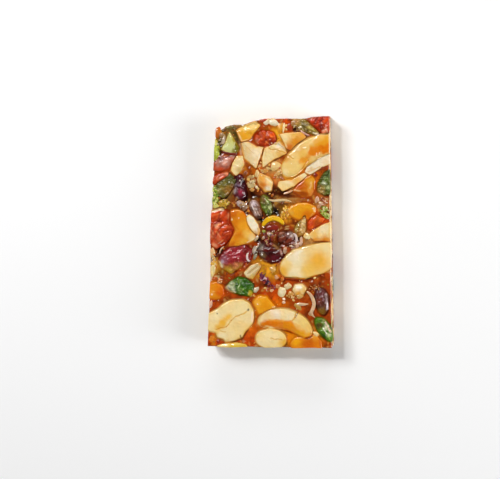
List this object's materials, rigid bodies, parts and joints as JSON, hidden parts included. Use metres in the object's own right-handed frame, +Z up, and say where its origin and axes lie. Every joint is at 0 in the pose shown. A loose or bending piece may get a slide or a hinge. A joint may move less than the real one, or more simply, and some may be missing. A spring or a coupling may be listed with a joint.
{
  "type": "dried fruit brittle bar",
  "caption": "Rectangular bar of glossy caramel brittle packed with almonds, cashews, pistachios and dried fruit, lying flat.",
  "frame": {"origin": "middle of the bar's footprint, on its back face", "axes": "+X across the bar, +Y along it towards the unevenly broken end, +Z up through its thickness, out of the shown face"},
  "size_m": [0.0466, 0.0852, 0.0105],
  "materials": {
    "caramel": "hard clear amber caramel, glossy",
    "almond": "peeled almond with a thin glaze of caramel",
    "cashew": "cashew with a thin glaze of caramel",
    "cut_nut": "chopped almond, pale and slightly rough",
    "pistachio": "pistachio kernel, green with a purple-brown skin",
    "seed": "olive-brown seed",
    "red_fruit": "dried red-orange fruit, wrinkled and glossy",
    "cranberry": "dried dark cranberry, wrinkled and glossy",
    "peel": "candied yellow peel"
  },
  "bodies": {
    "root": {"almond_amber_east": "almond", "almond_amber_foot": "almond", "almond_amber_low": "almond", "almond_amber_low_west": "almond", "almond_amber_west": "almond", "almond_beige_small": "cut_nut", "almond_beige_west": "cut_nut", "almond_cream_left": "cut_nut", "almond_cream_right": "cut_nut", "almond_crumb_middle": "cut_nut", "almond_cut_east": "cut_nut", "almond_east": "almond", "almond_foot": "almond", "almond_golden_east": "almond", "almond_middle": "cut_nut", "almond_north": "cut_nut", "almond_round_south": "almond", "almond_sliver_east": "cut_nut", "almond_sliver_west": "cut_nut", "almond_southwest": "almond", "almond_under_cashew": "cut_nut", "almond_wedge": "cut_nut", "back_almond_middle": "almond", "back_almond_north": "almond", "back_almond_south": "almond", "back_almond_west": "almond", "back_cashew_east": "cashew", "back_cashew_south": "cashew", "back_cranberry_west": "cranberry", "back_cut_almond_west": "cut_nut", "back_fruit_middle": "red_fruit", "back_fruit_southwest": "red_fruit", "back_pistachio_east": "pistachio", "back_pistachio_middle": "pistachio", "caramel_slab": "caramel", "cashew_northeast": "cashew", "cashew_south": "cashew", "cranberry_brown": "cranberry", "cranberry_centre": "cranberry", "cranberry_north": "cranberry", "fruit_east": "red_fruit", "fruit_north": "red_fruit", "fruit_northeast": "red_fruit", "fruit_rosy": "red_fruit", "fruit_west": "red_fruit", "fruit_west_small": "red_fruit", "peel_ring": "peel", "pistachio_burgundy": "pistachio", "pistachio_dark_east": "pistachio", "pistachio_east": "pistachio", "pistachio_green": "pistachio", "pistachio_mauve": "pistachio", "pistachio_mid": "pistachio", "pistachio_northwest": "pistachio", "pistachio_olive": "pistachio", "pistachio_southeast": "pistachio", "pistachio_west_edge": "pistachio", "seed_middle": "seed", "seed_northeast": "seed"}
  },
  "joints": []
}
